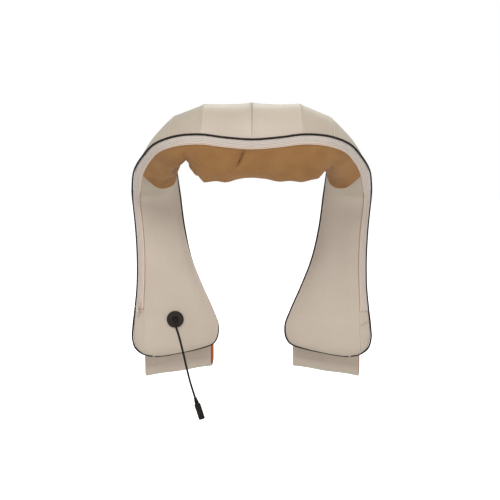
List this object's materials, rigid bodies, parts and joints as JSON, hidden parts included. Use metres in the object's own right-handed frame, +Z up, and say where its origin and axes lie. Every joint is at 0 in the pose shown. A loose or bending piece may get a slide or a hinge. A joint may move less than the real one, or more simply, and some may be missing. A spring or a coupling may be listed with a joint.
{
  "type": "shiatsu neck massager",
  "caption": "Padded shawl massager: a yoke with motor-driven kneading heads and heat, and padded arms with a control panel, a low-voltage lead and hand loops.",
  "frame": {"origin": "centre of the neck opening, level with the piping at the back of the yoke", "axes": "+X to the wearer's right as seen from behind, +Y the way the wearer faces, +Z up"},
  "size_m": [0.4026, 0.2735, 0.5171],
  "materials": {
    "leather": "soft synthetic leather, fine grain",
    "mesh": "woven spacer mesh",
    "zip_tape": "woven zip tape",
    "piping": "soft vinyl piping",
    "foam": "upholstery foam",
    "chassis_plastic": "moulded, satin",
    "dark_plastic": "moulded, satin",
    "steel": "turned",
    "brass": "sintered",
    "gear_plastic": "moulded acetal",
    "node_plastic": "moulded, satin",
    "board": "printed circuit board",
    "lamp": "clear red",
    "lining": "woven lining",
    "button": "moulded, satin",
    "panel": "moulded",
    "cord_rubber": "satin",
    "nickel": "plated",
    "zip_metal": "painted"
  },
  "bodies": {
    "yoke": {"back_cover": "leather", "mesh_cover": "mesh", "yoke_zip_tape": "zip_tape", "yoke_piping": "piping", "yoke_foam": "foam", "chassis_plate": "chassis_plastic", "chassis_screws": "steel", "gearbox_lower": "chassis_plastic", "gearbox_upper": "chassis_plastic", "gearbox_screws": "steel", "output_bushes": "brass", "worm_bearings": "brass", "motor_can": "steel", "motor_end_cap": "dark_plastic", "lamp_board": "board", "heat_lamps": "lamp", "thermal_cutout": "dark_plastic"},
    "left_head": {"left_worm_wheel": "gear_plastic", "left_output_shaft": "steel", "left_kneading_arm": "dark_plastic", "left_large_nodes": "node_plastic", "left_small_nodes": "node_plastic"},
    "right_head": {"right_worm_wheel": "gear_plastic", "right_output_shaft": "steel", "right_kneading_arm": "dark_plastic", "right_large_nodes": "node_plastic", "right_small_nodes": "node_plastic"},
    "worm": {"worm_shaft": "steel"},
    "left_arm": {"left_body_cover": "leather", "left_outer_cover": "leather", "left_arm_foam": "foam", "left_arm_piping": "piping", "left_arm_zip_tape": "zip_tape", "left_hand_strap": "leather", "left_strap_lining": "lining", "control_box": "dark_plastic", "control_panel": "panel", "control_board": "board", "control_box_screws": "steel", "indicator_lenses": "lamp", "cord_gland": "dark_plastic", "gland_nut": "dark_plastic", "strain_relief": "cord_rubber", "power_lead": "cord_rubber", "dc_socket": "cord_rubber", "dc_contact": "nickel"},
    "right_arm": {"right_body_cover": "leather", "right_outer_cover": "leather", "right_arm_foam": "foam", "right_arm_piping": "piping", "right_arm_zip_tape": "zip_tape", "right_hand_strap": "leather", "right_strap_lining": "lining"},
    "power_button": {"power_button": "button"},
    "direction_button": {"direction_button": "button"},
    "speed_button": {"speed_button": "button"},
    "heat_button": {"heat_button": "button"},
    "zip_slider": {"zip_slider": "zip_metal"},
    "zip_pull": {"zip_pull": "zip_metal"}
  },
  "joints": [
    {"name": "left_head_spin", "type": "hinge", "parent": "yoke", "child": "left_head", "pos_m": [-0.058, -0.072, 0], "axis": [0, 0, 1], "continuous": true},
    {"name": "right_head_spin", "type": "hinge", "parent": "yoke", "child": "right_head", "pos_m": [0.058, -0.072, 0], "axis": [0, 0, 1], "continuous": true},
    {"name": "worm_spin", "type": "hinge", "parent": "yoke", "child": "worm", "pos_m": [0, -0.043, 0.004], "axis": [1, 0, 0], "continuous": true},
    {"name": "left_arm_flex", "type": "hinge", "parent": "yoke", "child": "left_arm", "pos_m": [-0.157, 0.08, -0.125], "axis": [1, 0, 0], "range_deg": [-12, 30], "stiffness_Nm_per_rad": 0.6},
    {"name": "right_arm_flex", "type": "hinge", "parent": "yoke", "child": "right_arm", "pos_m": [0.157, 0.08, -0.125], "axis": [1, 0, 0], "range_deg": [-12, 30], "stiffness_Nm_per_rad": 0.6},
    {"name": "power_button_press", "type": "slide", "parent": "left_arm", "child": "power_button", "axis": [0, -1, 0], "range_m": [0, 0.0008], "stiffness_N_per_m": 900},
    {"name": "direction_button_press", "type": "slide", "parent": "left_arm", "child": "direction_button", "axis": [0, -1, 0], "range_m": [0, 0.0008], "stiffness_N_per_m": 900},
    {"name": "speed_button_press", "type": "slide", "parent": "left_arm", "child": "speed_button", "axis": [0, -1, 0], "range_m": [0, 0.0008], "stiffness_N_per_m": 900},
    {"name": "heat_button_press", "type": "slide", "parent": "left_arm", "child": "heat_button", "axis": [0, -1, 0], "range_m": [0, 0.0008], "stiffness_N_per_m": 900},
    {"name": "zip_slide", "type": "slide", "parent": "left_arm", "child": "zip_slider", "axis": [0.05, 0, 0.9987], "range_m": [0, 0.08]},
    {"name": "zip_pull_swing", "type": "hinge", "parent": "zip_slider", "child": "zip_pull", "pos_m": [-0.19004, 0.0634, -0.281], "axis": [-0.7975, 0.6033, 0], "range_deg": [0, 110]}
  ],
  "couplings": [
    {"joint": "right_head_spin", "follows": "left_head_spin", "ratio": -1},
    {"joint": "worm_spin", "follows": "left_head_spin", "ratio": -40}
  ]
}
